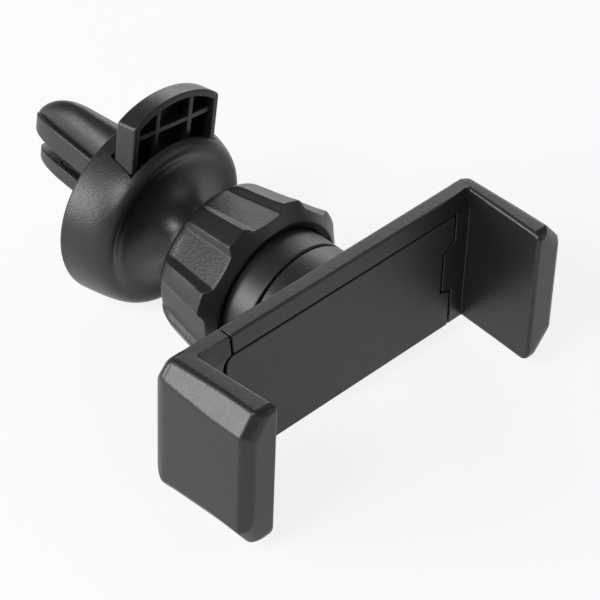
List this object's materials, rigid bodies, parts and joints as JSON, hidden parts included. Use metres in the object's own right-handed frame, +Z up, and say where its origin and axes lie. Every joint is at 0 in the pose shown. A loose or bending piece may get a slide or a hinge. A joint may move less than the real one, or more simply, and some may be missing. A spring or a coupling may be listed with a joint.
{
  "type": "air vent phone holder",
  "caption": "Black plastic car phone holder: spring jaw cradle on a ball joint with a lobed locking collar and a lever clip that grips an air vent vane.",
  "frame": {"origin": "middle of the grip face of the clip's upper pad, where the vane of the air vent lies", "axes": "+X to the right as seen from the phone's side, +Y back into the vent along the ball joint's axis, +Z up along the cradle's height; the clip itself is rolled 6.2 degrees about +Y, as the picture shows it"},
  "size_m": [0.064, 0.0783, 0.0376],
  "materials": {
    "satin_black": "fine satin grain",
    "plain_black": "smooth matte",
    "slick_black": "smooth, slightly glossy",
    "black_rubber": "matte",
    "zinc_steel": "zinc plated"
  },
  "bodies": {
    "base": {"base_shell": "satin_black", "rear_cover": "satin_black", "rear_cover_screw_1": "zinc_steel", "rear_cover_screw_2": "zinc_steel", "rear_cover_screw_3": "zinc_steel", "lever_pin": "zinc_steel", "upper_grip_pad": "black_rubber", "clamp_spring": "zinc_steel"},
    "lever": {"release_lever": "satin_black", "lower_grip_pad": "black_rubber"},
    "liner": {"ball_liner": "plain_black"},
    "collar": {"locking_collar": "satin_black"},
    "cradle": {"ball_socket": "slick_black", "socket_screw": "zinc_steel", "socket_washer": "zinc_steel", "cradle_housing": "satin_black", "front_plate": "plain_black", "jaw_spring_upper": "zinc_steel", "jaw_spring_lower": "zinc_steel"},
    "jaw": {"sliding_jaw": "satin_black"}
  },
  "joints": [
    {"name": "ball_pan", "type": "hinge", "parent": "base", "child": "liner", "pos_m": [-0.00011, -0.0299, -0.00099], "axis": [0, 0, 1], "range_deg": [-15, 15]},
    {"name": "ball_tilt", "type": "hinge", "parent": "liner", "child": "collar", "pos_m": [-0.00011, -0.0299, -0.00099], "axis": [1, 0, 0], "range_deg": [-15, 15]},
    {"name": "cradle_spin", "type": "hinge", "parent": "collar", "child": "cradle", "pos_m": [-0.00011, -0.0299, -0.00099], "axis": [0, 1, 0], "continuous": true},
    {"name": "jaw_slide", "type": "slide", "parent": "cradle", "child": "jaw", "axis": [-1, 0, 0], "range_m": [0, 0.033], "stiffness_N_per_m": 240, "springref_m": -0.016, "deforming": ["jaw_spring_upper", "jaw_spring_lower"]},
    {"name": "lever_hinge", "type": "hinge", "parent": "base", "child": "lever", "pos_m": [0.00071, -0.0122, 0.00656], "axis": [-0.9942, 0, 0.108], "range_deg": [0, 5], "stiffness_Nm_per_rad": 0.55, "springref_deg": -4.98, "deforming": ["clamp_spring"]}
  ]
}
